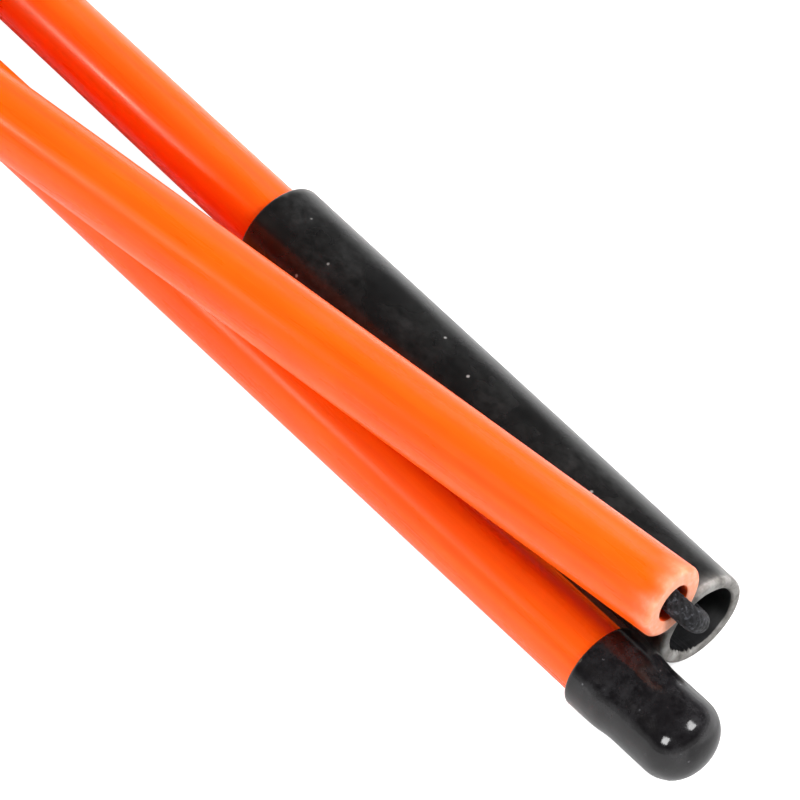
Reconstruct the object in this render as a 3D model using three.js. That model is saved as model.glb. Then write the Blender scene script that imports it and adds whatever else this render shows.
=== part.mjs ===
import * as THREE from 'three';

// Three-section golf alignment stick, folded. Millimetres, +Z up, +X along the bundle
// towards the capped end, resting on the plane z = 0.
//
// Three glass-fibre tubes hang on one elastic cord. Each black ferrule is glued to one tube
// and its free half is the socket that the next tube's plain end plugs into. The tip section
// carries the ground tip, the end section the soft end cap, and the cord ends in a knot
// behind a washer under each of them.

// ---------------------------------------------------------------- driving dimensions
const TUBE_LENGTH = 393.5;
const TUBE_RADIUS = 4;
const TUBE_BORE = 2;
const TUBE_EDGE = 0.25;

const FERRULE_LENGTH = 66;
const FERRULE_RADIUS = 5.35;
const SOCKET_RADIUS = 4.125;
const SOCKET_DEPTH = 30;
const FERRULE_EDGE = 0.3;

const CAP_SLEEVE = 5.3;
const CAP_NOSE = 9.5;
const CAP_RADIUS = 4.85;
const CAP_NOSE_RADIUS = 4.55;
const CAP_ROUNDING = 3.8;
const CAP_WALL = 0.9;

const TIP_SLEEVE = 20;
const TIP_NOSE = 28;
const TIP_POINT_RADIUS = 1.2;

const CORD_RADIUS = 1.2;
const KNOT_RADIUS = 1.7;
const KNOT_STRAND = 0.62;
const WASHER_RADIUS = 3.3;
const WASHER_THICKNESS = 0.8;

const GAP = 0.3;
const CORD_LEAD = 40;
const CORD_LEAVES_AXIS = 3;

// How the sections lie. The tip section is parallel to X with its socket mouth at x = 0.
// The end section lies beside it and the middle section crosses over the end section.
const MIDDLE_END = new THREE.Vector3(1.2, -5.46, 14.55);
const MIDDLE_YAW = THREE.MathUtils.degToRad(6.58);
const END_LINE_Y = -10.8;
const END_YAW = THREE.MathUtils.degToRad(0.786);
const END_TUBE_X = 2.5;

// ---------------------------------------------------------------- facet counts
const ROUND = 40;
const CORD_SIDES = 8;
const ROUNDING_STEPS = 6;

// ---------------------------------------------------------------- materials
function finish(color, roughness, metalness = 0) {
  return new THREE.MeshStandardMaterial({ color, roughness, metalness });
}

const ORANGE_FIBRE = finish(0xff6a18, 0.42);
const BLACK_PLASTIC = finish(0x17181a, 0.45);
const BLACK_VINYL = finish(0x0c0c0e, 0.16);
const BLACK_CORD = finish(0x26262a, 0.85);
const STEEL = finish(0xb8bcc0, 0.35, 1);

// ---------------------------------------------------------------- shape helpers
// Every turned piece is drawn as [x, radius] points and revolved about local X.
function turned(outline) {
  const points = outline.map(([x, radius]) => new THREE.Vector2(radius, x));
  const geometry = new THREE.LatheGeometry(points, ROUND);
  geometry.rotateZ(-Math.PI / 2);
  return geometry;
}

// A pipe between two stations, with its outer and inner edges broken by a small chamfer.
function pipe(from, to, outer, bore, edge) {
  const lip = Math.min(edge, 0.2);
  return turned([
    [from, bore + lip],
    [from, outer - edge],
    [from + edge, outer],
    [to - edge, outer],
    [to, outer - edge],
    [to, bore + lip],
    [to - lip, bore],
    [from + lip, bore],
    [from, bore + lip],
  ]);
}

// Points of a quarter ellipse from radius at x = start to zero radius at x = start + length.
function dome(start, length, radius) {
  const points = [];
  for (let i = 1; i <= ROUNDING_STEPS; i += 1) {
    const angle = (Math.PI / 2) * (i / ROUNDING_STEPS);
    const r = i === ROUNDING_STEPS ? 0 : radius * Math.cos(angle);
    points.push([start + length * Math.sin(angle), r]);
  }
  return points;
}

// A length of cord along a smooth curve through the points.
function cordAlong(points, steps) {
  const section = new THREE.Shape();
  for (let i = 0; i < CORD_SIDES; i += 1) {
    const angle = (2 * Math.PI * i) / CORD_SIDES;
    const x = CORD_RADIUS * Math.cos(angle);
    const y = CORD_RADIUS * Math.sin(angle);
    if (i === 0) section.moveTo(x, y);
    else section.lineTo(x, y);
  }
  section.closePath();
  const extrudePath = new THREE.CatmullRomCurve3(points, false, 'centripetal');
  return new THREE.ExtrudeGeometry(section, { steps, extrudePath, bevelEnabled: false });
}

function straightCord(from, to) {
  const geometry = new THREE.CylinderGeometry(CORD_RADIUS, CORD_RADIUS, to - from, CORD_SIDES);
  geometry.rotateZ(-Math.PI / 2);
  geometry.translate((from + to) / 2, 0, 0);
  return geometry;
}

function node(name, geometry, material) {
  const mesh = new THREE.Mesh(geometry, material);
  mesh.name = name;
  return mesh;
}

// A section's frame: local +X runs along its tube, local Z stays as upright as it can.
function sectionGroup(origin, along) {
  const across = new THREE.Vector3(0, 0, 1).cross(along).normalize();
  const up = along.clone().cross(across);
  const group = new THREE.Group();
  group.quaternion.setFromRotationMatrix(new THREE.Matrix4().makeBasis(along, across, up));
  group.position.copy(origin);
  return group;
}

// ---------------------------------------------------------------- where the sections lie
const reach = TUBE_LENGTH + SOCKET_DEPTH;
const tipAlong = new THREE.Vector3(1, 0, 0);
const tipMouth = new THREE.Vector3(0, 0, FERRULE_RADIUS);

const middleRise = (MIDDLE_END.z - FERRULE_RADIUS) / reach;
const middleAlong = new THREE.Vector3(Math.cos(MIDDLE_YAW), Math.sin(MIDDLE_YAW), middleRise);
middleAlong.normalize();
const middleMouth = MIDDLE_END.clone().addScaledVector(middleAlong, -reach);

const endRise = (CAP_RADIUS - TUBE_RADIUS) / TUBE_LENGTH;
const endAlong = new THREE.Vector3(Math.cos(END_YAW), Math.sin(END_YAW), endRise).normalize();
const endCapped = new THREE.Vector3(0, END_LINE_Y, CAP_RADIUS);
endCapped.addScaledVector(endAlong, END_TUBE_X);
const endPlain = endCapped.clone().addScaledVector(endAlong, -TUBE_LENGTH);

// ---------------------------------------------------------------- pieces that repeat
function tube(name, from) {
  const geometry = pipe(from, from + TUBE_LENGTH, TUBE_RADIUS, TUBE_BORE, TUBE_EDGE);
  return node(name, geometry, ORANGE_FIBRE);
}

function ferrule(name, from) {
  const geometry = pipe(from, from + FERRULE_LENGTH, FERRULE_RADIUS, SOCKET_RADIUS, FERRULE_EDGE);
  return node(name, geometry, BLACK_PLASTIC);
}

// Stopper at a cord end: a washer against the tube and an overhand knot behind it.
// side is +1 when the stopper lies on the +X side of the tube's end face, else -1.
function stopper(prefix, face, side) {
  const near = face + side * GAP;
  const far = near + side * WASHER_THICKNESS;
  const hole = CORD_RADIUS + GAP;
  const low = Math.min(near, far);
  const washer = pipe(low, low + WASHER_THICKNESS, WASHER_RADIUS, hole, 0.12);
  const knot = new THREE.TorusKnotGeometry(KNOT_RADIUS, KNOT_STRAND, 48, 8, 2, 3);
  knot.rotateY(Math.PI / 2);
  const depth = KNOT_RADIUS / 2 + KNOT_STRAND;
  knot.translate(far + side * (GAP + depth), 0, 0);
  return [
    node(`${prefix}_cord_washer`, washer, STEEL),
    node(`${prefix}_cord_knot`, knot, BLACK_CORD),
  ];
}

// ---------------------------------------------------------------- tip section
// Local X = 0 at the ferrule's open mouth.
function tipSection() {
  const group = sectionGroup(tipMouth, tipAlong);
  const farEnd = -reach;
  const sleeveEnd = farEnd + TIP_SLEEVE;
  const cavity = 3.7;
  const cavityEnd = farEnd - 7;
  const groundTip = turned([
    [farEnd - TIP_NOSE, 0],
    [farEnd - TIP_NOSE, TIP_POINT_RADIUS * 0.6],
    [farEnd - TIP_NOSE + 0.5, TIP_POINT_RADIUS],
    [farEnd - 9, 4.75],
    [farEnd - 8.4, FERRULE_RADIUS],
    [sleeveEnd - FERRULE_EDGE, FERRULE_RADIUS],
    [sleeveEnd, FERRULE_RADIUS - FERRULE_EDGE],
    [sleeveEnd, SOCKET_RADIUS],
    [farEnd - GAP, SOCKET_RADIUS],
    [farEnd - GAP, cavity],
    [cavityEnd, cavity],
    [cavityEnd - 1, 0],
  ]);
  group.add(node('tip_section_tube', pipe(farEnd, -SOCKET_DEPTH, TUBE_RADIUS, TUBE_BORE, TUBE_EDGE),
    ORANGE_FIBRE));
  group.add(ferrule('tip_section_ferrule', -FERRULE_LENGTH));
  group.add(node('ground_tip', groundTip, BLACK_PLASTIC));
  group.add(...stopper('tip', farEnd, -1));
  const washerFace = farEnd - GAP - WASHER_THICKNESS;
  group.add(node('tip_section_cord', straightCord(washerFace, -SOCKET_DEPTH - 3 - GAP), BLACK_CORD));
  return group;
}

// ---------------------------------------------------------------- middle section
// Local X = 0 at the plain end, the ferrule at the far end opens towards -X.
function middleSection() {
  const group = sectionGroup(MIDDLE_END, middleAlong);
  group.add(tube('middle_section_tube', -TUBE_LENGTH));
  group.add(ferrule('middle_section_ferrule', -reach));
  group.add(node('middle_section_cord', straightCord(-TUBE_LENGTH, -CORD_LEAVES_AXIS), BLACK_CORD));
  const wall = SOCKET_RADIUS - CORD_RADIUS - GAP;
  const route = [
    [-TUBE_LENGTH - GAP, 0],
    [-TUBE_LENGTH - 3, 0.5],
    [-TUBE_LENGTH - 8, wall - 0.3],
    [-TUBE_LENGTH - 12, wall],
    [-reach + 6, wall],
    [-reach + 1, wall - 0.1],
  ].map(([x, side]) => new THREE.Vector3(x, side, 0));
  group.add(node('middle_socket_cord', cordAlong(route, 16), BLACK_CORD));
  return group;
}

// ---------------------------------------------------------------- end section
// Local X = 0 at the tube's capped end.
function endSection() {
  const group = sectionGroup(endCapped, endAlong);
  const mouth = -CAP_SLEEVE;
  const cavityRadius = CAP_NOSE_RADIUS - CAP_WALL;
  const domeStart = CAP_NOSE - CAP_ROUNDING;
  const endCap = turned([
    [CAP_NOSE - CAP_WALL, 0],
    [CAP_NOSE - CAP_WALL - 0.3, cavityRadius * 0.6],
    [domeStart, cavityRadius],
    [GAP, cavityRadius],
    [GAP, SOCKET_RADIUS],
    [mouth, SOCKET_RADIUS],
    [mouth, CAP_RADIUS - 0.45],
    [mouth + 0.25, CAP_RADIUS - 0.12],
    [mouth + 0.8, CAP_RADIUS],
    [-1.2, CAP_RADIUS],
    [-0.3, CAP_RADIUS - 0.12],
    [0.6, CAP_NOSE_RADIUS],
    [domeStart, CAP_NOSE_RADIUS],
    ...dome(domeStart, CAP_ROUNDING, CAP_NOSE_RADIUS),
  ]);
  group.add(tube('end_section_tube', -TUBE_LENGTH));
  group.add(node('end_cap', endCap, BLACK_VINYL));
  group.add(...stopper('end', 0, 1));
  const cordStart = -TUBE_LENGTH + CORD_LEAD;
  group.add(node('end_section_cord', straightCord(cordStart, GAP + WASHER_THICKNESS), BLACK_CORD));
  return group;
}

// ---------------------------------------------------------------- cord between the sections
// At the near end the cord leaves the middle tube, turns over both rims and runs down the
// upper side of the tip ferrule's socket. Points are [x, distance from the tip tube's axis
// towards the middle tube].
const towardsMiddle = MIDDLE_END.clone().sub(tipMouth);
towardsMiddle.addScaledVector(tipAlong, -towardsMiddle.dot(tipAlong));
const tipSpacing = towardsMiddle.length();
towardsMiddle.normalize();

function tipCordPoint([x, offset]) {
  return tipMouth.clone().addScaledVector(tipAlong, x).addScaledVector(towardsMiddle, offset);
}

const bendStart = MIDDLE_END.clone().addScaledVector(middleAlong, GAP - CORD_LEAVES_AXIS);

const TIP_BEND = [
  [-0.2, tipSpacing - 0.25],
  [0.85, tipSpacing - 0.6],
  [1.75, tipSpacing - 1],
  [2.32, 8.95],
  [2.46, 8.1],
  [2.36, 7.2],
  [2.2, 6.5],
];
const TIP_LEAD = [
  [2.12, 6.2],
  [1.9, 5.4],
  [1.48, 4.3],
  [0.85, 3.3],
  [-0.3, 2.7],
  [-2, 2.62],
  [-5, 2.65],
  [-SOCKET_DEPTH + 6, 2.65],
  [-SOCKET_DEPTH + 2.5, 1.6],
  [-SOCKET_DEPTH, 0.6],
  [-SOCKET_DEPTH - 3, 0],
];

// At the far end the cord turns over the middle ferrule's rim and runs back to the end
// tube's plain end. Points are [x, y, z] from the centre of the ferrule's mouth.
const END_BEND = [
  [-0.3, 2.75, 0],
  [-2.6, 3.4, 0],
  [-4.1, 5.2, -0.05],
  [-4.0, 7.4, -0.1],
  [-2.5, 9.4, -0.15],
];
const endCordTurn = endPlain.clone().addScaledVector(endAlong, -1.5);

function fromMiddleMouth(point) {
  return middleMouth.clone().add(new THREE.Vector3(...point));
}

function foldCords() {
  const bendEnd = fromMiddleMouth(END_BEND[END_BEND.length - 1]);
  const runAlong = endCordTurn.clone().sub(bendEnd).normalize();
  const runStart = bendEnd.clone().addScaledVector(runAlong, GAP);
  const runEnd = endCordTurn.clone().addScaledVector(runAlong, -1.2);
  const leadStart = runEnd.clone().addScaledVector(runAlong, GAP);
  const lead = [
    leadStart,
    leadStart.clone().addScaledVector(runAlong, 0.6),
    endPlain.clone().addScaledVector(endAlong, -0.2),
    endPlain.clone().addScaledVector(endAlong, 3),
    endPlain.clone().addScaledVector(endAlong, CORD_LEAD - GAP),
  ];
  return [
    node('tip_cord_bend', cordAlong([bendStart, ...TIP_BEND.map(tipCordPoint)], 16), BLACK_CORD),
    node('tip_cord_lead', cordAlong(TIP_LEAD.map(tipCordPoint), 22), BLACK_CORD),
    node('end_cord_bend', cordAlong(END_BEND.map(fromMiddleMouth), 12), BLACK_CORD),
    node('end_cord_run', cordAlong([runStart, runEnd], 12), BLACK_CORD),
    node('end_cord_lead', cordAlong(lead, 20), BLACK_CORD),
  ];
}

// ---------------------------------------------------------------- the folded stick
const stick = new THREE.Group();
stick.add(tipSection(), middleSection(), endSection(), ...foldCords());

// The origin is the centre of the bundle's footprint on the surface that it lies on.
stick.updateMatrixWorld(true);
const bounds = new THREE.Box3().setFromObject(stick, true);
const centre = bounds.getCenter(new THREE.Vector3());
stick.position.set(-centre.x, -centre.y, -bounds.min.z);
stick.updateMatrixWorld(true);

export default stick;
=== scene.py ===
import math

import bpy
import numpy as np
from mathutils import Matrix, Vector


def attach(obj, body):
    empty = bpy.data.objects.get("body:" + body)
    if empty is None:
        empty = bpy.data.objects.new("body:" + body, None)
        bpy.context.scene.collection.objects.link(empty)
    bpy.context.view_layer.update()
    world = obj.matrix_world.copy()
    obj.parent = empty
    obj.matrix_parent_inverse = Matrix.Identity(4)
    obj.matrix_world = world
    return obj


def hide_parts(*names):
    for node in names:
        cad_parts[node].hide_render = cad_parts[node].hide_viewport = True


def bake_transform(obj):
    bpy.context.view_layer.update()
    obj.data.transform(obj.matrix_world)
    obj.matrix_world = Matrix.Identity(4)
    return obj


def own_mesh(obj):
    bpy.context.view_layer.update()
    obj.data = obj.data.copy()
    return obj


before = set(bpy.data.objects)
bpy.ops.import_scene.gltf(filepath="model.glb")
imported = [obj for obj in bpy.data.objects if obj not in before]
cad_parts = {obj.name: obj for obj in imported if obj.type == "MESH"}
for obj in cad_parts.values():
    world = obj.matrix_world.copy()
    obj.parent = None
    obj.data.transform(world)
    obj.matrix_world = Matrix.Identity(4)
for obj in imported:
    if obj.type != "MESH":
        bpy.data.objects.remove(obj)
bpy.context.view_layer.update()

# ------------------------------------------------------------------ dimensions, as in the CAD (mm)
MM = 0.001  # one millimetre in the scene's metres
ORIGIN = np.array([219.7506, 26.954, 0.004])  # floor point under the tip ferrule's mouth

TUBE_LENGTH, TUBE_RADIUS, TUBE_BORE = 393.5, 4.0, 2.0
FERRULE_LENGTH, FERRULE_RADIUS = 66.0, 5.35
SOCKET_RADIUS, SOCKET_DEPTH = 4.125, 30.0
CAP_SLEEVE, CAP_NOSE, CAP_RADIUS, CAP_NOSE_RADIUS = 5.3, 9.5, 4.85, 4.55
CAP_ROUNDING, CAP_WALL = 3.8, 0.9
TIP_SLEEVE, TIP_NOSE = 20.0, 28.0
CORD_RADIUS, CORD_LEAD, GAP = 1.2, 40.0, 0.3
REACH = TUBE_LENGTH + SOCKET_DEPTH  # a tube with the ferrule's socket beyond it


def unit(v):
    v = np.asarray(v, float)
    return v / np.linalg.norm(v)


# Where each section starts and which way its tube runs, from the point given by ORIGIN.
TIP_MOUTH = np.array([0, 0, FERRULE_RADIUS])
TIP_ALONG = np.array([1.0, 0, 0])
MIDDLE_END = np.array([1.2, -5.46, 14.55])
MIDDLE_YAW = math.radians(6.58)
MIDDLE_ALONG = unit(
    [math.cos(MIDDLE_YAW), math.sin(MIDDLE_YAW), (MIDDLE_END[2] - FERRULE_RADIUS) / REACH]
)
MIDDLE_MOUTH = MIDDLE_END - REACH * MIDDLE_ALONG
END_YAW, END_LINE_Y, END_TUBE_X = math.radians(0.786), -10.8, 2.5
END_ALONG = unit([math.cos(END_YAW), math.sin(END_YAW), (CAP_RADIUS - TUBE_RADIUS) / TUBE_LENGTH])
END_CAPPED = np.array([0, END_LINE_Y, CAP_RADIUS]) + END_TUBE_X * END_ALONG
END_PLAIN = END_CAPPED - TUBE_LENGTH * END_ALONG


def axes_matrix(x_axis, y_axis, z_axis, origin):
    """The matrix of a frame with the given axes; origin is in mm from ORIGIN."""
    m = Matrix.Identity(4)
    spot = (origin + ORIGIN) * MM
    for i in range(3):
        m[i][0], m[i][1], m[i][2], m[i][3] = x_axis[i], y_axis[i], z_axis[i], spot[i]
    return m


def section_matrix(origin, along):
    """A section's own frame: X along its tube, Z as upright as it can be, in metres."""
    across = unit(np.cross([0, 0, 1], along))
    return axes_matrix(along, across, np.cross(along, across), origin)


TIP = section_matrix(TIP_MOUTH, TIP_ALONG)
MIDDLE = section_matrix(MIDDLE_END, MIDDLE_ALONG)
END = section_matrix(END_CAPPED, END_ALONG)


# ------------------------------------------------------------------ shader helpers
class Nodes:
    """Short names for building one material's node tree.

    Noise and Voronoi take a scale in cells per metre along each axis of the piece and an
    offset that keeps two patterns apart. Bump depths are in metres.
    """

    def __init__(self, name):
        self.mat = bpy.data.materials.new(name)
        self.mat.use_nodes = True
        self.tree = self.mat.node_tree
        self.bsdf = self.tree.nodes["Principled BSDF"]
        self.coords = self.tree.nodes.new("ShaderNodeTexCoord").outputs["Object"]

    def put(self, node, key, value):
        """Sets an input to a number or a colour, or links it to a socket."""
        if isinstance(value, bpy.types.NodeSocket):
            self.tree.links.new(value, node.inputs[key])
        else:
            node.inputs[key].default_value = value

    def scaled(self, scale, offset):
        n = self.tree.nodes.new("ShaderNodeMapping")
        self.put(n, "Vector", self.coords)
        self.put(n, "Scale", scale)
        self.put(n, "Location", offset)
        return n.outputs["Vector"]

    def noise(self, scale, detail, offset=(0, 0, 0), rough=0.55, distortion=0.0):
        vector = self.scaled(scale, offset)
        n = self.tree.nodes.new("ShaderNodeTexNoise")
        for key, value in (("Vector", vector), ("Scale", 1.0), ("Detail", detail),
                           ("Roughness", rough), ("Distortion", distortion)):
            self.put(n, key, value)
        return n.outputs["Fac"]

    def voronoi(self, scale, offset=(0, 0, 0)):
        vector = self.scaled(scale, offset)
        n = self.tree.nodes.new("ShaderNodeTexVoronoi")
        self.put(n, "Vector", vector)
        self.put(n, "Scale", 1.0)
        return n.outputs["Distance"]

    def ramp(self, fac, stops):
        """A colour ramp; each stop is a position with a grey level or a colour."""
        n = self.tree.nodes.new("ShaderNodeValToRGB")
        while len(n.color_ramp.elements) < len(stops):
            n.color_ramp.elements.new(0.5)
        for e, (at, c) in zip(n.color_ramp.elements, stops):
            e.position = at
            e.color = (c, c, c, 1) if isinstance(c, (int, float)) else (*c, 1)
        self.put(n, "Fac", fac)
        return n.outputs["Color"]

    def mix(self, fac, a, b):
        """Blends two colours; the Mix node keeps its colour sockets at inputs 6 and 7."""
        n = self.tree.nodes.new("ShaderNodeMix")
        n.data_type = "RGBA"
        self.put(n, 0, fac)
        for key, value in ((6, a), (7, b)):
            self.put(n, key, value if isinstance(value, bpy.types.NodeSocket) else (*value, 1))
        return n.outputs[2]

    def math(self, op, a, b, clamp=False):
        n = self.tree.nodes.new("ShaderNodeMath")
        n.operation = op
        n.use_clamp = clamp
        self.put(n, 0, a)
        self.put(n, 1, b)
        return n.outputs[0]

    def attribute(self, name):
        n = self.tree.nodes.new("ShaderNodeAttribute")
        n.attribute_name = name
        return n.outputs["Fac"]

    def bump(self, height, strength, distance, normal=None):
        n = self.tree.nodes.new("ShaderNodeBump")
        self.put(n, "Strength", strength)
        self.put(n, "Distance", distance)
        self.put(n, "Height", height)
        if normal is not None:
            self.put(n, "Normal", normal)
        return n.outputs["Normal"]

    def finish(self, **sockets):
        for key, value in sockets.items():
            self.put(self.bsdf, key.replace("_", " "), value)
        return self.mat


def rgb(code):
    """An sRGB hex colour as the linear numbers that shaders take."""
    parts = [int(code[i:i + 2], 16) / 255 for i in (0, 2, 4)]
    return tuple(c / 12.92 if c <= 0.04045 else ((c + 0.055) / 1.055) ** 2.4 for c in parts)


# ------------------------------------------------------------------ materials
def orange_tube():
    """Pigmented resin over pulled glass fibre: satin, faintly streaked along the tube."""
    n = Nodes("orange_fibre_tube")
    streak = n.noise((22, 900, 900), 5)
    fine = n.noise((120, 2600, 2600), 3, (3, 1, 2))
    cloud = n.noise((90, 160, 160), 3, (7, 2, 5))
    colour = n.ramp(streak, [(0.30, rgb("F24C02")), (0.52, rgb("F85603")), (0.74, rgb("FF5E06"))])
    colour = n.mix(n.ramp(cloud, [(0.42, 0.0), (0.75, 0.35)]), colour, rgb("FF6610"))
    colour = n.mix(n.ramp(fine, [(0.60, 0.0), (0.80, 0.22)]), colour, rgb("FF7024"))
    paled = n.attribute("sanded")
    speckle = n.noise((1500, 1500, 1500), 4)
    pale = n.ramp(speckle, [(0.30, rgb("F79C76")), (0.55, rgb("F8AA8A")), (0.75, rgb("FAB9A0"))])
    ragged = n.math("ADD", paled, n.math("MULTIPLY", n.math("SUBTRACT", speckle, 0.5), 0.3))
    paling = n.ramp(n.math("MULTIPLY", paled, ragged), [(0.0, 0.0), (0.85, 1.0)])
    colour = n.mix(paling, colour, pale)
    rough = n.ramp(n.noise((60, 700, 700), 4), [(0.3, 0.23), (0.7, 0.37)])
    rough = n.math("ADD", rough, n.math("MULTIPLY", paled, 0.25), clamp=True)
    normal = n.bump(streak, 0.25, 0.00006)
    normal = n.bump(fine, 0.18, 0.00003, normal)
    return n.finish(Base_Color=colour, Roughness=rough, Normal=normal, Specular_IOR_Level=0.30)


def bore_wall():
    """The unsanded wall inside a tube: deeper orange."""
    n = Nodes("orange_bore")
    streak = n.noise((60, 1400, 1400), 4)
    colour = n.ramp(streak, [(0.3, rgb("D23A06")), (0.7, rgb("F25A12"))])
    return n.finish(Base_Color=colour, Roughness=0.55, Normal=n.bump(streak, 0.4, 0.00008))


def ferrule_plastic():
    """Satin black tube plastic, scuffed along its length with a grey haze that is partly painted
    sheen, and worn grey at the cut mouth.
    """
    n = Nodes("black_ferrule")
    grain = n.noise((1800, 1800, 1800), 4)
    scuff = n.noise((70, 620, 620), 5, (1, 4, 2), rough=0.6, distortion=0.4)
    blotch = n.noise((120, 150, 150), 3, (5, 0, 3))
    colour = n.ramp(scuff, [(0.35, rgb("0A0A0A")), (0.58, rgb("0F0F0F")), (0.78, rgb("181818"))])
    rub = n.noise((900, 1200, 1200), 6, (8, 3, 1), rough=0.75)
    # grey haze: real rubbing marks, and also a painted sheen standing in for the broad soft
    # highlight along the ferrule
    rub_and_sheen_haze = n.math("MULTIPLY", n.ramp(rub, [(0.36, 0.0), (0.76, 0.8)]),
                    n.ramp(blotch, [(0.40, 0.10), (0.68, 1.0)]))
    colour = n.mix(rub_and_sheen_haze, colour, rgb("383838"))
    specks = n.voronoi((330, 330, 330))
    colour = n.mix(n.ramp(specks, [(0.03, 0.85), (0.075, 0.0)]), colour, rgb("9A9A98"))
    worn = n.attribute("sanded")
    mottled = n.ramp(n.noise((520, 520, 520), 5, (2, 2, 2), rough=0.62),
                     [(0.34, rgb("56534F")), (0.50, rgb("83807C")), (0.66, rgb("A3A19E"))])
    edge = n.math("MULTIPLY", worn, n.math("ADD", n.math("MULTIPLY", blotch, 1.3), 0.25))
    colour = n.mix(n.ramp(edge, [(0.12, 0.0), (0.62, 1.0)]), colour, mottled)
    rough = n.ramp(blotch, [(0.35, 0.24), (0.6, 0.30), (0.75, 0.38)])
    rough = n.math("ADD", rough, n.math("MULTIPLY", worn, 0.25), clamp=True)
    normal = n.bump(grain, 0.22, 0.00004)
    normal = n.bump(scuff, 0.15, 0.00005, normal)
    return n.finish(Base_Color=colour, Roughness=rough, Normal=normal, Specular_IOR_Level=0.38)


def socket_wall():
    """The rougher inside of the ferrule, faintly ringed."""
    n = Nodes("black_socket_wall")
    ring = n.noise((1500, 260, 260), 4)
    colour = n.ramp(ring, [(0.35, rgb("0B0B0C")), (0.75, rgb("202022"))])
    return n.finish(Base_Color=colour, Roughness=0.5, Normal=n.bump(ring, 0.5, 0.0001))


def vinyl():
    """Dipped glossy vinyl: slight orange-peel, hazy handling marks and specks of dust."""
    n = Nodes("black_vinyl")
    peel = n.noise((850, 850, 850), 3)
    dimple = n.noise((300, 300, 300), 2, (6, 1, 2))
    cloud = n.noise((800, 800, 800), 6, (3, 0, 1), rough=0.70)
    patch = n.noise((170, 170, 170), 2, (4, 2, 7))
    haze = n.math("MULTIPLY", n.ramp(cloud, [(0.36, 0.0), (0.78, 0.8)]),
                  n.ramp(patch, [(0.36, 0.15), (0.64, 1.0)]))
    colour = n.mix(haze, rgb("0D0B0D"), rgb("373638"))
    dust = n.voronoi((900, 900, 900), (4, 4, 4))
    dusty = n.math("MULTIPLY", n.ramp(dust, [(0.05, 1.0), (0.14, 0.0)]),
                   n.ramp(cloud, [(0.52, 0.0), (0.60, 0.8)]))
    colour = n.mix(dusty, colour, rgb("77777A"))
    rough = n.math("ADD", n.math("MULTIPLY", haze, 0.12), 0.12)
    normal = n.bump(dimple, 0.20, 0.00025)
    normal = n.bump(peel, 0.22, 0.00008, normal)
    return n.finish(Base_Color=colour, Roughness=rough, Normal=normal, Specular_IOR_Level=0.36)


def moulded_tip():
    """Matt moulded plastic of the ground tip, scuffed along its length."""
    n = Nodes("black_tip")
    grain = n.noise((1300, 1300, 1300), 4)
    scuff = n.noise((90, 400, 400), 5, (1, 4, 2), rough=0.6)
    colour = n.ramp(scuff, [(0.35, rgb("111214")), (0.75, rgb("2A2B2D"))])
    return n.finish(Base_Color=colour, Roughness=n.ramp(scuff, [(0.3, 0.38), (0.7, 0.55)]),
                    Normal=n.bump(grain, 0.3, 0.00005))


def braid():
    """Textile sheath: the strand pattern is in the mesh, with painted shade that darkens the
    valleys between strands; the fibres are here.
    """
    n = Nodes("braided_cord")
    strand = n.attribute("strand")
    fibre = n.noise((4200, 4200, 4200), 3)
    fleck = n.noise((2100, 2100, 2100), 2, (3, 1, 4))
    # painted shade: the lower a point of the braid, the darker, in the valleys and where strands
    # pass under
    colour = n.ramp(strand, [(0.10, rgb("030303")), (0.60, rgb("111113")), (0.95, rgb("1F1F22"))])
    colour = n.mix(n.ramp(fleck, [(0.55, 0.0), (0.72, 0.65)]), colour, rgb("55565C"))
    colour = n.mix(n.ramp(fibre, [(0.58, 0.0), (0.75, 0.30)]), colour, rgb("4A4B50"))
    return n.finish(Base_Color=colour, Roughness=0.75, Normal=n.bump(fibre, 0.5, 0.00006),
                    Specular_IOR_Level=0.25, Sheen_Weight=0.05, Sheen_Roughness=0.4)


def steel():
    """Pressed washer steel with fine rolling lines."""
    n = Nodes("stamped_steel")
    lines = n.noise((300, 2200, 2200), 4)
    return n.finish(Base_Color=n.ramp(lines, [(0.3, rgb("9A9DA0")), (0.7, rgb("C6C8CA"))]),
                    Metallic=1.0, Roughness=n.ramp(lines, [(0.3, 0.25), (0.7, 0.42)]),
                    Normal=n.bump(lines, 0.2, 0.00004))


TUBE_SKIN, BORE_WALL = orange_tube(), bore_wall()
FERRULE_SKIN, SOCKET_WALL = ferrule_plastic(), socket_wall()
VINYL, TIP_SKIN, BRAID, STEEL = vinyl(), moulded_tip(), braid(), steel()


# ------------------------------------------------------------------ mesh helpers
SHARP_EDGE = math.radians(50)


def add_mesh(name, verts, faces, materials, matrix=None, face_mats=None, **attributes):
    """A smooth-shaded object; attributes are one number per vertex for the materials."""
    mesh = bpy.data.meshes.new(name)
    mesh.from_pydata([tuple(v) for v in verts], [], faces)
    for m in materials:
        mesh.materials.append(m)
    if face_mats is not None:
        mesh.polygons.foreach_set("material_index", face_mats)
    for key, values in attributes.items():
        layer = mesh.attributes.new(key, "FLOAT", "POINT")
        layer.data.foreach_set("value", np.asarray(values, np.float32))
    mesh.polygons.foreach_set("use_smooth", [True] * len(mesh.polygons))
    mesh.set_sharp_from_angle(angle=SHARP_EDGE)
    mesh.update()
    obj = bpy.data.objects.new(name, mesh)
    bpy.context.scene.collection.objects.link(obj)
    if matrix is not None:
        obj.matrix_world = matrix
    return obj


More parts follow.
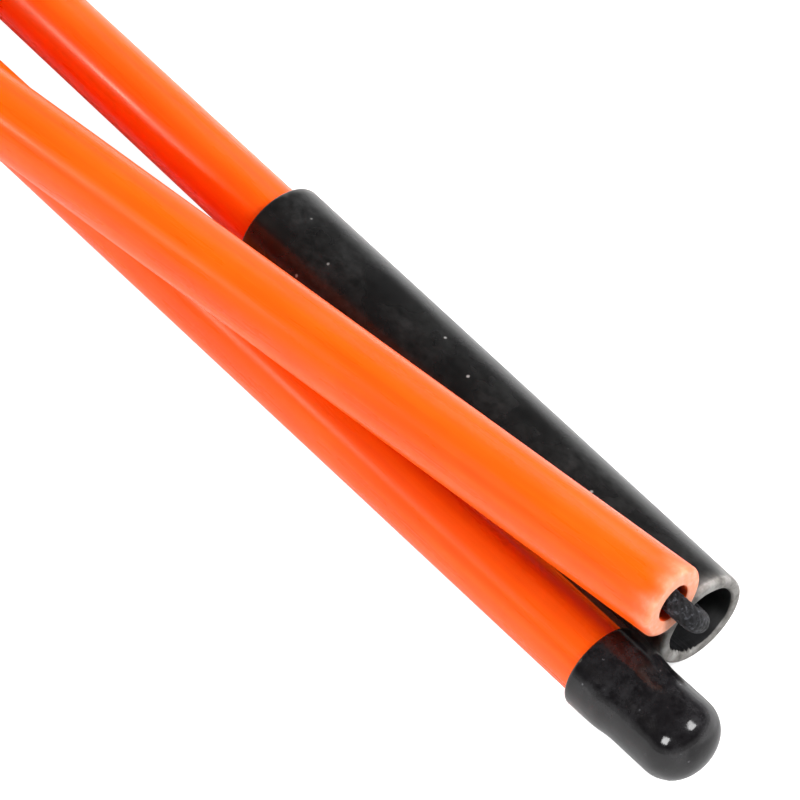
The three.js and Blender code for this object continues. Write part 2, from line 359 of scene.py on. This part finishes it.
def revolve(name, outline, sides, materials, matrix, shape=None):
    """Turns a closed outline of (x, radius, material index, sanded) in mm about local X.

    A radius of zero makes a pole. shape may move a point of a ring and change how worn it
    is: shape(angle, x, radius, sanded).
    """
    verts, rings, sanded = [], [], []
    for x, r, _, worn in outline:
        if r == 0:
            rings.append([len(verts)])
            verts.append((x * MM, 0, 0))
            sanded.append(worn)
            continue
        ring = []
        for k in range(sides):
            a = 2 * math.pi * k / sides
            px, pr, pw = shape(a, x, r, worn) if shape else (x, r, worn)
            ring.append(len(verts))
            verts.append((px * MM, pr * MM * math.cos(a), pr * MM * math.sin(a)))
            sanded.append(pw)
        rings.append(ring)
    faces, mats = [], []
    closed = outline[0][1] != 0
    for i in range(len(rings) if closed else len(rings) - 1):
        a, b = rings[i], rings[(i + 1) % len(rings)]
        for k in range(sides):
            k2 = (k + 1) % sides
            if len(a) == 1:
                faces.append((a[0], b[k2], b[k]))
            elif len(b) == 1:
                faces.append((a[k], a[k2], b[0]))
            else:
                faces.append((a[k], a[k2], b[k2], b[k]))
            mats.append(outline[i][2])
    return add_mesh(name, verts, faces, materials, matrix, mats, sanded=sanded)


def stations(a, b, step):
    """Evenly spaced positions from a to b, without either end."""
    count = max(1, round(abs(b - a) / step))
    return [a + (b - a) * i / count for i in range(1, count)]


def arc(cx, cr, radius_x, radius_r, start, stop, steps):
    """Points of an elliptic arc in the (x, radius) plane, angles in degrees from +x."""
    out = []
    for i in range(steps + 1):
        t = math.radians(start + (stop - start) * i / steps)
        out.append((cx + radius_x * math.cos(t), cr + radius_r * math.sin(t)))
    return out


# ------------------------------------------------------------------ cord
SAMPLES_PER_SPAN = 40


def smooth_path(points, step):
    """Centripetal Catmull-Rom through the points, resampled evenly."""
    p = np.asarray(points, float)
    if len(p) == 2:
        count = max(2, int(round(np.linalg.norm(p[1] - p[0]) / step)))
        return np.linspace(p[0], p[1], count + 1)
    ext = np.vstack([2 * p[0] - p[1], p, 2 * p[-1] - p[-2]])
    dense = []
    for i in range(1, len(ext) - 2):
        q = ext[i - 1:i + 3]
        t = np.concatenate([[0], np.cumsum(np.linalg.norm(np.diff(q, axis=0), axis=1) ** 0.5)])
        for u in np.linspace(t[1], t[2], SAMPLES_PER_SPAN, endpoint=False):
            a = [(t[k + 1] - u) / (t[k + 1] - t[k]) * q[k]
                 + (u - t[k]) / (t[k + 1] - t[k]) * q[k + 1] for k in range(3)]
            b = [(t[k + 2] - u) / (t[k + 2] - t[k]) * a[k]
                 + (u - t[k]) / (t[k + 2] - t[k]) * a[k + 1] for k in range(2)]
            dense.append((t[2] - u) / (t[2] - t[1]) * b[0] + (u - t[1]) / (t[2] - t[1]) * b[1])
    dense.append(ext[-2])
    dense = np.array(dense)
    s = np.concatenate([[0], np.cumsum(np.linalg.norm(np.diff(dense, axis=0), axis=1))])
    count = max(4, int(round(s[-1] / step)))
    at = np.linspace(0, s[-1], count + 1)
    return np.column_stack([np.interp(at, s, dense[:, k]) for k in range(3)])


BRAID_PITCH = 5.2  # mm along the cord for one turn of a strand
STRANDS = 8
BRAID_VALLEY, BRAID_RELIEF = 0.90, 0.10  # of the cord's radius
UNDER = 0.8  # height of a strand where it passes under another
CUT_END, CUT_HEIGHT = 0.4, 0.3  # mm at a cut end, and the strands' height at the cut itself
# the painted shade level given to the centre of each cut end
CUT_SHADE = 0.2
NOT_ALONG_A_CORD = [0.13, 0.2, 0.97]


def braided(name, points, step, sides, matrix=None):
    """A sheath of two crossing sets of strands round a path given in mm."""
    path = smooth_path(points, step)
    tangent = np.gradient(path, axis=0)
    tangent /= np.linalg.norm(tangent, axis=1)[:, None]
    side = unit(np.cross(tangent[0], NOT_ALONG_A_CORD))
    length = np.concatenate([[0], np.cumsum(np.linalg.norm(np.diff(path, axis=0), axis=1))])
    verts, strand = [], []
    for i in range(len(path)):
        side = unit(side - (side @ tangent[i]) * tangent[i])
        other = np.cross(tangent[i], side)
        end = min(length[i], length[-1] - length[i])
        for k in range(sides):
            a = 2 * math.pi * k / sides
            turn = 2 * math.pi * length[i] / BRAID_PITCH
            left = math.cos(STRANDS * (a + turn) / 2) ** 2
            right = math.cos(STRANDS * (a - turn) / 2) ** 2
            over = math.sin(STRANDS * a / 2 + STRANDS * turn / 2) > 0
            height = max(left, right) if over else max(left * UNDER, right)
            height *= min(1.0, CUT_HEIGHT + end / CUT_END)
            r = CORD_RADIUS * (BRAID_VALLEY + BRAID_RELIEF * height)
            verts.append((path[i] + r * (math.cos(a) * side + math.sin(a) * other)) * MM)
            # each point's height is kept to paint shade into the braid's valleys
            strand.append(height)
    faces = []
    for i in range(len(path) - 1):
        for k in range(sides):
            k2 = (k + 1) % sides
            a, b = i * sides, (i + 1) * sides
            faces.append((a + k, a + k2, b + k2, b + k))
    for i, flip in ((0, True), (len(path) - 1, False)):
        centre = len(verts)
        verts.append(path[i] * MM)
        strand.append(CUT_SHADE)
        for k in range(sides):
            pair = (i * sides + k, i * sides + (k + 1) % sides)
            faces.append((pair[1], pair[0], centre) if flip else (pair[0], pair[1], centre))
    return add_mesh(name, verts, faces, [BRAID], matrix, strand=strand)


# ------------------------------------------------------------------ tubes
TUBE_SIDES = 112
TUBE_ROUNDING, BORE_ROUNDING = 0.55, 0.25
ROUNDING_STEPS, BORE_ROUNDING_STEPS = 7, 4
CUT_FACE_RADII = (3.1, 2.8, 2.5)
CUT_PALE, EDGE_FADE, BORE_PALE = 1.0, 0.45, 0.9  # how pale the cut face and its edges are
# distance in mm from the cut end, and how pale the skin still is there
TUBE_WEAR = ((1.0, 0.42), (1.6, 0.26), (2.4, 0.1), (3.6, 0.0))
BORE_START = 2.0  # mm inside the cut where the bore has its full colour
SKIN_STEP, BORE_STEP = 12, 30  # mm between rings
FACE_RADIUS = 3.2  # the cut face inside this radius is evenly sanded
UNEVEN = 0.22


def cut_end(end, inward):
    """One square-cut, sanded and softly rounded end of a tube, from the skin to the bore.

    inward is 1 where the tube runs on towards +x and -1 where it runs towards -x.
    """
    pts = [(end + inward * d, TUBE_RADIUS, 0, worn) for d, worn in reversed(TUBE_WEAR)]
    corner = TUBE_RADIUS - TUBE_ROUNDING
    for x, r in arc(end + inward * TUBE_ROUNDING, corner, -inward * TUBE_ROUNDING, TUBE_ROUNDING,
                    90, 0, ROUNDING_STEPS):
        pts.append((x, r, 0, CUT_PALE - EDGE_FADE * (r - corner) / TUBE_ROUNDING))
    pts += [(end, r, 0, CUT_PALE) for r in CUT_FACE_RADII]
    for x, r in arc(end + inward * BORE_ROUNDING, TUBE_BORE + BORE_ROUNDING,
                    -inward * BORE_ROUNDING, -BORE_ROUNDING, 0, 90, BORE_ROUNDING_STEPS):
        pts.append((x, r, 0 if r > TUBE_BORE + 0.1 else 1, BORE_PALE))
    pts.append((end + inward * BORE_START, TUBE_BORE, 1, 0.0))
    return pts


def tube_outline(start, stop):
    """Skin from start to stop, then the bore back again; the section's frame, in mm."""
    wear_end = TUBE_WEAR[-1][0]
    near, far = cut_end(start, 1), cut_end(stop, -1)
    skin = [(x, TUBE_RADIUS, 0, 0.0)
            for x in stations(start + wear_end, stop - wear_end, SKIN_STEP)]
    bore = [(x, TUBE_BORE, 1, 0.0)
            for x in stations(stop - BORE_START, start + BORE_START, BORE_STEP)]
    return skin + far + bore + near[::-1]


def make_tube(node, body, start, matrix, seed):
    """seed shifts how unevenly the tube's ends are sanded."""
    def shape(a, x, r, worn):
        if 0 < worn < 0.95 and r > FACE_RADIUS:
            worn += UNEVEN * math.sin(3 * a + seed) * math.sin(7 * a + 2 * seed)
        return x, r, worn

    obj = revolve(node + "_skin", tube_outline(start, start + TUBE_LENGTH), TUBE_SIDES,
                  [TUBE_SKIN, BORE_WALL], matrix, shape)
    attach(obj, body)
    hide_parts(node)


make_tube("tip_section_tube", "tip_section", -REACH, TIP, 0.4)
make_tube("middle_section_tube", "middle_section", -TUBE_LENGTH, MIDDLE, 1.3)
make_tube("end_section_tube", "end_section", -TUBE_LENGTH, END, 2.2)


# ------------------------------------------------------------------ ferrules
FERRULE_SIDES = 216
# at the glued end and at the mouth: distance from it, change of radius, how grey it is worn
GLUED_EDGE = ((0.0, -0.3, 0.3), (0.09, -0.09, 0.3), (0.3, 0.0, 0.2), (1.2, 0.0, 0.05))
FERRULE_WEAR = ((6.0, 0.0, 0.0), (4.4, 0.0, 0.0), (3.0, 0.0, 0.08), (2.0, 0.0, 0.15),
                (1.2, 0.0, 0.22), (0.86, 0.0, 0.30), (0.66, -0.015, 0.50), (0.42, -0.03, 0.85))
LIP_ROUNDING, LIP_DROP, LIP_ANGLES = 0.4, 0.03, (15, 35, 55, 75, 90)
OUTSIDE_STEP, SOCKET_STEP = 2.5, 3.0
SOCKET_EDGE, SOCKET_BOTTOM = 0.30, 0.2  # mm from the mouth and from the glued end
BURR_REACH, BURR_SPREAD, BURR_DEPTH, BURR_LEAN = 0.35, 0.62, 0.50, 0.10
RIPPLE = 0.03


def ferrule_outline(glued, mouth):
    """Outline from the glued end to the cut mouth. mouth may be on either side of glued."""
    s = 1 if mouth > glued else -1
    R, S = FERRULE_RADIUS, SOCKET_RADIUS
    pts = [(glued, S + 0.12, 0, 0.25)]
    pts += [(glued + s * d, R + change, 0, worn) for d, change, worn in GLUED_EDGE]
    plain = (glued + s * GLUED_EDGE[-1][0], mouth - s * FERRULE_WEAR[0][0])
    pts += [(x, R, 0, 0.0) for x in stations(*plain, OUTSIDE_STEP)]
    pts += [(mouth - s * d, R + change, 0, worn) for d, change, worn in FERRULE_WEAR]
    for t in LIP_ANGLES:
        a = math.radians(t)
        pts.append((mouth - s * LIP_ROUNDING * (1 - math.sin(a)),
                    R - LIP_DROP - LIP_ROUNDING * (1 - math.cos(a)), 0, 1.0))
    pts += [(mouth, r, 0, 1.0) for r in (R - 0.62, R - 0.8, S + 0.2)]
    socket = (mouth - s * SOCKET_EDGE, glued + s * SOCKET_BOTTOM)
    pts += [(mouth - s * 0.10, S + 0.06, 0, 0.9), (socket[0], S, 1, 0.2)]
    pts += [(x, S, 1, 0.0) for x in stations(*socket, SOCKET_STEP)]
    pts.append((socket[1], S, 1, 0.0))
    return pts if s > 0 else pts[::-1]


def make_ferrule(node, body, glued, mouth, matrix, burr_at):
    """glued and mouth are the ferrule's two ends along its section's x."""
    s = 1 if mouth > glued else -1

    def shape(a, x, r, worn):
        # torn burrs on the socket's edge, strongest round the angle burr_at
        if s * (mouth - x) < BURR_REACH and r < SOCKET_RADIUS + 0.4:
            near = math.exp(-((math.remainder(a - burr_at, 2 * math.pi)) / BURR_SPREAD) ** 2)
            tooth = abs(math.sin(23 * a + 0.6)) * (0.55 + 0.45 * math.sin(37 * a + 2.0))
            r += RIPPLE * math.sin(9 * a) - near * BURR_DEPTH * tooth
            x -= s * near * BURR_LEAN * tooth
        if 0 < worn < 0.9:
            worn = max(0.0, worn + 0.25 * math.sin(2 * a + 0.7) + 0.12 * math.sin(5 * a))
        return x, r, worn

    obj = revolve(node + "_skin", ferrule_outline(glued, mouth), FERRULE_SIDES,
                  [FERRULE_SKIN, SOCKET_WALL], matrix, shape)
    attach(obj, body)
    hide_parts(node)


make_ferrule("tip_section_ferrule", "tip_section", -FERRULE_LENGTH, 0.0, TIP, math.radians(232))
make_ferrule("middle_section_ferrule", "middle_section", FERRULE_LENGTH - REACH, -REACH, MIDDLE,
             math.radians(40))


# ------------------------------------------------------------------ soft end cap
CAP_SIDES = 128
CAP_LIP, CAP_LIP_STEPS, CAP_STEP = 0.36, 6, 0.35
STEP_AT, STEP_WIDTH = -0.46, 0.5  # where the vinyl steps down past the end of its tube
DOME_STEPS, DOME_POWER = 16, 2.1
WAVES_OUTSIDE, WAVE_DEPTH = 3.9, 0.035


def cap_outline():
    """The cavity from the nose back to the lip, then the outside forward to the nose."""
    nose, R = CAP_NOSE_RADIUS, CAP_RADIUS
    dome_start = CAP_NOSE - CAP_ROUNDING
    cavity = nose - CAP_WALL
    pts = [(CAP_NOSE - CAP_WALL, 0, 0, 0), (CAP_NOSE - CAP_WALL - 0.3, cavity * 0.6, 0, 0),
           (dome_start, cavity, 0, 0), (GAP, cavity, 0, 0), (GAP, SOCKET_RADIUS, 0, 0),
           (-CAP_SLEEVE + 0.3, SOCKET_RADIUS, 0, 0)]
    lip = arc(-CAP_SLEEVE + CAP_LIP, R - CAP_LIP, CAP_LIP, CAP_LIP, 180, 90, CAP_LIP_STEPS)
    pts += [(x, r, 0, 0) for x, r in lip]
    for x in stations(-CAP_SLEEVE + CAP_LIP, dome_start, CAP_STEP):
        t = 1 / (1 + math.exp(-(x - STEP_AT) / STEP_WIDTH))
        pts.append((x, R + (nose - R) * t, 0, 0))
    for i in range(DOME_STEPS + 1):
        a = math.pi / 2 * i / DOME_STEPS
        c = max(0.0, math.cos(a)) ** (2 / DOME_POWER)
        sn = math.sin(a) ** (2 / DOME_POWER)
        r = nose * c if i < DOME_STEPS else 0
        pts.append((dome_start + CAP_ROUNDING * sn, r, 0, 0))
    return pts


def cap_shape(a, x, r, worn):
    """Slow waves in the outside, as dipped vinyl has."""
    if x > -CAP_SLEEVE + 0.4 and r > WAVES_OUTSIDE:
        wave = 0.5 * math.sin(2 * a + 0.6 * x + 1.0) + 0.5 * math.sin(3 * a - 0.35 * x)
        r -= WAVE_DEPTH * (1 + wave)
    return x, r, worn


cap = revolve("end_cap_skin", cap_outline(), CAP_SIDES, [VINYL], END, cap_shape)
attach(cap, "end_section")
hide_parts("end_cap")


# ------------------------------------------------------------------ ground tip
GROUND_TIP_SIDES = 96
POINT_RADIUS, CONE_RADIUS, CONE_END = 1.2, 4.7, 9.2
SLEEVE_RADIUS = FERRULE_RADIUS - 0.02
GRIP_RINGS, RING_WIDTH, RING_DEPTH = (6.0, 8.6, 11.2), 0.45, 0.22
CONE_STEP, SLEEVE_STEP, TIP_CAVITY = 2.0, 0.4, 3.7


def tip_outline():
    """The point, the cone, the sleeve with its grip rings, then the hollow from the sleeve's
    open end inwards."""
    far = -REACH
    point = far - TIP_NOSE
    pts = [(point, 0, 0, 0), (point, 0.5, 0, 0), (point + 0.12, 0.9, 0, 0),
           (point + 0.5, POINT_RADIUS, 0, 0)]
    for x in stations(point + 0.5, far - CONE_END, CONE_STEP):
        t = (x - (point + 0.5)) / (TIP_NOSE - CONE_END - 0.5)
        pts.append((x, POINT_RADIUS + (CONE_RADIUS - POINT_RADIUS) * t, 0, 0))
    pts += [(far - CONE_END, CONE_RADIUS, 0, 0), (far - 8.9, 4.95, 0, 0), (far - 8.6, 5.2, 0, 0),
            (far - 8.3, SLEEVE_RADIUS, 0, 0)]
    for x in stations(far - 8.3, far + TIP_SLEEVE - 0.4, SLEEVE_STEP):
        rings = sum(math.exp(-((x - (far + c)) / RING_WIDTH) ** 2) for c in GRIP_RINGS)
        pts.append((x, SLEEVE_RADIUS - RING_DEPTH * rings, 0, 0))
    end = far + TIP_SLEEVE
    pts += [(end - 0.3, SLEEVE_RADIUS, 0, 0), (end - 0.09, FERRULE_RADIUS - 0.1, 0, 0),
            (end, FERRULE_RADIUS - 0.3, 0, 0), (end, SOCKET_RADIUS, 0, 0),
            (far - GAP, SOCKET_RADIUS, 0, 0), (far - GAP, TIP_CAVITY, 0, 0),
            (far - 7, TIP_CAVITY, 0, 0), (far - 8, 0, 0, 0)]
    return pts


tip = revolve("ground_tip_skin", tip_outline(), GROUND_TIP_SIDES, [TIP_SKIN], TIP)
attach(tip, "tip_section")
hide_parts("ground_tip")


# ------------------------------------------------------------------ cord, cut per body
FINE, COARSE = 0.16, 0.5  # mm between the rings of a cord in the open and inside a tube
NEAR_SIDES, FAR_SIDES, SOCKET_SIDES, TUBE_CORD_SIDES = 40, 32, 24, 16
LEAVES_AXIS = 3.0  # the cord leaves a tube's axis this far inside its end


def place(points):
    return [np.asarray(p, float) + ORIGIN for p in points]


toward_middle = MIDDLE_END - TIP_MOUTH
toward_middle = toward_middle - (toward_middle @ TIP_ALONG) * TIP_ALONG
TIP_SPACING = float(np.linalg.norm(toward_middle))
toward_middle = toward_middle / TIP_SPACING


def tip_points(pairs):
    """Points given along the tip section and away from its axis towards the middle one."""
    return place([TIP_MOUTH + x * TIP_ALONG + d * toward_middle for x, d in pairs])


TIP_BEND = [(-0.2, TIP_SPACING - 0.25), (0.85, TIP_SPACING - 0.6), (1.75, TIP_SPACING - 1),
            (2.32, 8.95), (2.46, 8.1), (2.36, 7.2), (2.2, 6.5)]
TIP_LEAD = [(2.12, 6.2), (1.9, 5.4), (1.48, 4.3), (0.85, 3.3), (-0.3, 2.7), (-2, 2.62),
            (-5, 2.65), (6 - SOCKET_DEPTH, 2.65), (2.5 - SOCKET_DEPTH, 1.6),
            (-SOCKET_DEPTH, 0.6), (-SOCKET_DEPTH - 3, 0)]
# from the centre of the middle ferrule's mouth
END_BEND = [(-0.3, 2.75, 0), (-2.6, 3.4, 0), (-4.1, 5.2, -0.05), (-4.0, 7.4, -0.1),
            (-2.5, 9.4, -0.15)]
CORD_TURN = END_PLAIN - 1.5 * END_ALONG

bend_end = MIDDLE_MOUTH + np.array(END_BEND[-1])
run_along = unit(CORD_TURN - bend_end)
run_end = CORD_TURN - 1.2 * run_along
LEAD = [run_end, run_end + (GAP + 0.6) * run_along, END_PLAIN - 0.2 * END_ALONG,
        END_PLAIN + 3 * END_ALONG, END_PLAIN + (CORD_LEAD - GAP) * END_ALONG]

# in the middle section's own frame: from the bore to lying along the socket's wall
wall = SOCKET_RADIUS - CORD_RADIUS - GAP
SOCKET_ROUTE = [(-TUBE_LENGTH - GAP, 0, 0), (-TUBE_LENGTH - 3, 0.5, 0),
                (-TUBE_LENGTH - 8, wall - 0.3, 0), (-TUBE_LENGTH - 12, wall, 0),
                (6 - REACH, wall, 0), (1 - REACH, wall - 0.1, 0)]


def cord_piece(node, body, points, step, sides, matrix=None):
    """A length of cord that takes a node's place; with no body it is left unattached."""
    obj = braided(node + "_braid", points, step, sides, matrix)
    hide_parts(node)
    if body:
        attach(obj, body)
    return obj


tip_bend = place([MIDDLE_END + (GAP - LEAVES_AXIS) * MIDDLE_ALONG])
tip_bend += tip_points(TIP_BEND + TIP_LEAD[:1])
tip_lead = tip_points(TIP_LEAD)
far_bend = place([MIDDLE_MOUTH + np.array(p) for p in END_BEND])
far_run = place([bend_end, run_end])
far_lead = place(LEAD)

piece = cord_piece("tip_cord_bend", None, tip_bend, FINE, NEAR_SIDES)
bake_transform(piece)
piece = cord_piece("tip_cord_lead", None, tip_lead, FINE, NEAR_SIDES)
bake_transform(piece)
# as the far fold opens, its bend draws back into the socket and its span into the bore
piece = cord_piece("end_cord_bend", "middle_section", far_bend, FINE, FAR_SIDES)
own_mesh(piece)
piece = cord_piece("end_cord_run", "end_cord_span", far_run, FINE, FAR_SIDES)
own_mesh(piece)
piece = cord_piece("end_cord_lead", None, far_lead, FINE, FAR_SIDES)
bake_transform(piece)
cord_piece("middle_socket_cord", "middle_section", SOCKET_ROUTE, FINE, SOCKET_SIDES, MIDDLE)
for node, body, start, stop, matrix in (
        ("middle_section_cord", "middle_section", -TUBE_LENGTH, -LEAVES_AXIS, MIDDLE),
        ("tip_section_cord", "tip_section", -REACH - GAP - 0.8, -SOCKET_DEPTH - 3 - GAP, TIP),
        ("end_section_cord", "end_section", CORD_LEAD - TUBE_LENGTH, GAP + 0.8, END)):
    cord_piece(node, body, [(start, 0, 0), (stop, 0, 0)], COARSE, TUBE_CORD_SIDES, matrix)

# the washers and knots are out of sight and keep their CAD meshes
for node, material in (("tip_cord_washer", STEEL), ("end_cord_washer", STEEL),
                       ("tip_cord_knot", BRAID), ("end_cord_knot", BRAID)):
    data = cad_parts[node].data
    data.materials.clear()
    data.materials.append(material)


# ------------------------------------------------------------------ camera
CAMERA_SPOT = np.array([175.25, -189.64, 362.69])
AZIMUTH, ELEVATION, ROLL = math.radians(-40.601), math.radians(51.541), math.radians(0.81)
SENSOR_WIDTH, FOCAL_PIXELS, PHOTO_PIXELS = 36.0, 4472.4, 800
CLIP_NEAR, CLIP_FAR = 0.01, 20

back = np.array([math.cos(ELEVATION) * math.cos(AZIMUTH), math.cos(ELEVATION) * math.sin(AZIMUTH),
                 math.sin(ELEVATION)])
right = unit(np.cross(-back, [0, 0, 1]))
up = np.cross(right, -back)
rolled_right = math.cos(ROLL) * right + math.sin(ROLL) * up
rolled_up = -math.sin(ROLL) * right + math.cos(ROLL) * up
camera_data = bpy.data.cameras.new("camera")
camera_data.sensor_width = SENSOR_WIDTH
camera_data.lens = FOCAL_PIXELS * SENSOR_WIDTH / PHOTO_PIXELS
camera_data.clip_start, camera_data.clip_end = CLIP_NEAR, CLIP_FAR
camera = bpy.data.objects.new("camera", camera_data)
bpy.context.scene.collection.objects.link(camera)
camera.matrix_world = axes_matrix(rolled_right, rolled_up, back, CAMERA_SPOT)
bpy.context.scene.camera = camera


# ------------------------------------------------------------------ floor
# centre and reach in mm of an ellipse of shade, and how far in from its edge it is full
SHADE_AT_END = ((-15.0, -4.0, 0.0), (17.0, 8.0, 8.0), 0.45)
SHADE_ALONG = ((-220.0, -4.0, 0.0), (700.0, 13.0, 13.0), 0.35)
MIRRORED_GLOW = 0.65
FLOOR_GREY, FLOOR_REACH, FLOOR_DROP = 0.55, 4.0, 0.0002


def floor_material():
    """Matt pale floor that glows white to the camera and less so in reflections.

    The glow stops under the near end for the camera, and under the whole stick in
    reflections, so that the undersides stay dark.
    """
    mat = bpy.data.materials.new("pale_floor")
    mat.use_nodes = True
    tree = mat.node_tree
    bsdf = tree.nodes["Principled BSDF"]
    bsdf.inputs["Base Color"].default_value = (FLOOR_GREY, FLOOR_GREY, FLOOR_GREY, 1)
    bsdf.inputs["Roughness"].default_value = 0.9
    bsdf.inputs["Specular IOR Level"].default_value = 0.1
    bsdf.inputs["Emission Color"].default_value = (1, 1, 1, 1)
    place_on_floor = tree.nodes.new("ShaderNodeTexCoord")
    seen = tree.nodes.new("ShaderNodeLightPath")

    def math_node(operation, a, b):
        node = tree.nodes.new("ShaderNodeMath")
        node.operation = operation
        for socket, value in zip(node.inputs, (a, b)):
            if isinstance(value, float):
                socket.default_value = value
            else:
                tree.links.new(value, socket)
        return node.outputs[0]

    def clear_of(centre, reach, core):
        """One on the open floor, falling to nought in an ellipse under the stick."""
        spot = [float(v) * MM for v in ORIGIN + np.array(centre)]
        mapping = tree.nodes.new("ShaderNodeMapping")
        mapping.vector_type = "TEXTURE"
        mapping.inputs["Location"].default_value = spot
        mapping.inputs["Scale"].default_value = [v * MM for v in reach]
        gradient = tree.nodes.new("ShaderNodeTexGradient")
        gradient.gradient_type = "SPHERICAL"
        ramp = tree.nodes.new("ShaderNodeValToRGB")
        outside, inside = ramp.color_ramp.elements
        outside.position, outside.color = 0.0, (1, 1, 1, 1)
        inside.position, inside.color = core, (0, 0, 0, 1)
        tree.links.new(place_on_floor.outputs["Object"], mapping.inputs["Vector"])
        tree.links.new(mapping.outputs["Vector"], gradient.inputs["Vector"])
        tree.links.new(gradient.outputs["Fac"], ramp.inputs["Fac"])
        return ramp.outputs["Color"]

    direct = math_node("MULTIPLY", seen.outputs["Is Camera Ray"], clear_of(*SHADE_AT_END))
    mirrored = math_node("MULTIPLY", seen.outputs["Is Glossy Ray"], clear_of(*SHADE_ALONG))
    glow = math_node("ADD", direct, math_node("MULTIPLY", mirrored, MIRRORED_GLOW))
    tree.links.new(glow, bsdf.inputs["Emission Strength"])
    return mat


corners = [(-1, -1), (1, -1), (1, 1), (-1, 1)]
floor = add_mesh("floor", [(x * FLOOR_REACH, y * FLOOR_REACH, 0) for x, y in corners],
                 [(0, 1, 2, 3)], [floor_material()])
floor.location.z = -FLOOR_DROP


# ------------------------------------------------------------------ light
HORIZON, ZENITH = 0.90, 0.12
HORIZON_TOP, CEILING_START = 0.08, 0.32  # sines of the elevation


def studio_world(horizon, zenith):
    """A bright wall all round at floor level that fades to a dim ceiling."""
    world = bpy.data.worlds.new("studio")
    bpy.context.scene.world = world
    world.use_nodes = True
    tree = world.node_tree
    background = tree.nodes["Background"]
    direction = tree.nodes.new("ShaderNodeTexCoord")
    split = tree.nodes.new("ShaderNodeSeparateXYZ")
    ramp = tree.nodes.new("ShaderNodeValToRGB")
    ramp.color_ramp.interpolation = "EASE"
    low, high = ramp.color_ramp.elements
    low.position, low.color = HORIZON_TOP, (horizon, horizon, horizon, 1)
    high.position, high.color = CEILING_START, (zenith, zenith, zenith, 1)
    tree.links.new(direction.outputs["Generated"], split.inputs[0])
    tree.links.new(split.outputs["Z"], ramp.inputs["Fac"])
    tree.links.new(ramp.outputs["Color"], background.inputs["Color"])
    background.inputs["Strength"].default_value = 1.0


studio_world(HORIZON, ZENITH)

# the softboxes look at a point on the floor under the near end
AIM_X, AIM_Y = -30.0, -5.0
AIM = Vector(((float(ORIGIN[0]) + AIM_X) * MM, (float(ORIGIN[1]) + AIM_Y) * MM, 0.0))
STRIP_SEES_X, STRIP_WARM = -190.0, (1.0, 0.88, 0.70)


def softbox(name, azimuth, elevation, distance, width, height, watts):
    """A rectangular light that looks at AIM; degrees, metres and watts."""
    az, el = math.radians(azimuth), math.radians(elevation)
    data = bpy.data.lights.new(name, "AREA")
    data.shape = "RECTANGLE"
    data.size, data.size_y, data.energy = width, height, watts
    obj = bpy.data.objects.new(name, data)
    bpy.context.scene.collection.objects.link(obj)
    away = Vector((math.cos(el) * math.cos(az), math.cos(el) * math.sin(az), math.sin(el)))
    obj.location = AIM + away * distance
    obj.rotation_euler = (-away).to_track_quat("-Z", "Y").to_euler()
    return obj


# one that "lights" isn't seen in reflections, one that is "mirrored" gives no diffuse light
for name, role, *numbers in (
        ("softbox_far", "lights", 34, 48, 1.0, 0.34, 0.30, 9.0),
        ("softbox_far_window", "mirrored", 34, 48, 0.98, 0.34, 0.30, 6.0),
        ("softbox_near", "mirrored", -69, 34, 1.0, 0.30, 0.26, 5.2),
        ("softbox_fill", "lights", -80, 18, 1.0, 0.50, 0.30, 7.5),
        ("softbox_top", "lights", 0, 82, 1.0, 0.40, 0.40, 2.2),
        ("softbox_side", "lights", 116, 43, 1.0, 0.60, 0.60, 8.0),
        ("softbox_window", "both", 116, 43, 1.0, 0.10, 0.16, 0.5),
        ("softbox_strip", "mirrored", -123, 32, 1.0, 0.09, 0.05, 2.4)):
    light = softbox(name, *numbers)
    light.visible_glossy = role != "lights"
    light.visible_diffuse = role != "mirrored"
# the strip is warm and looks further along, for the thin highlight on the rear tube
light.data.color = STRIP_WARM
light.location += Vector(((STRIP_SEES_X - AIM_X) * MM, 0, 0))

bpy.context.scene.view_settings.view_transform = "Standard"
bpy.context.scene.view_settings.look = "None"
bpy.context.scene.view_settings.exposure = 0.0
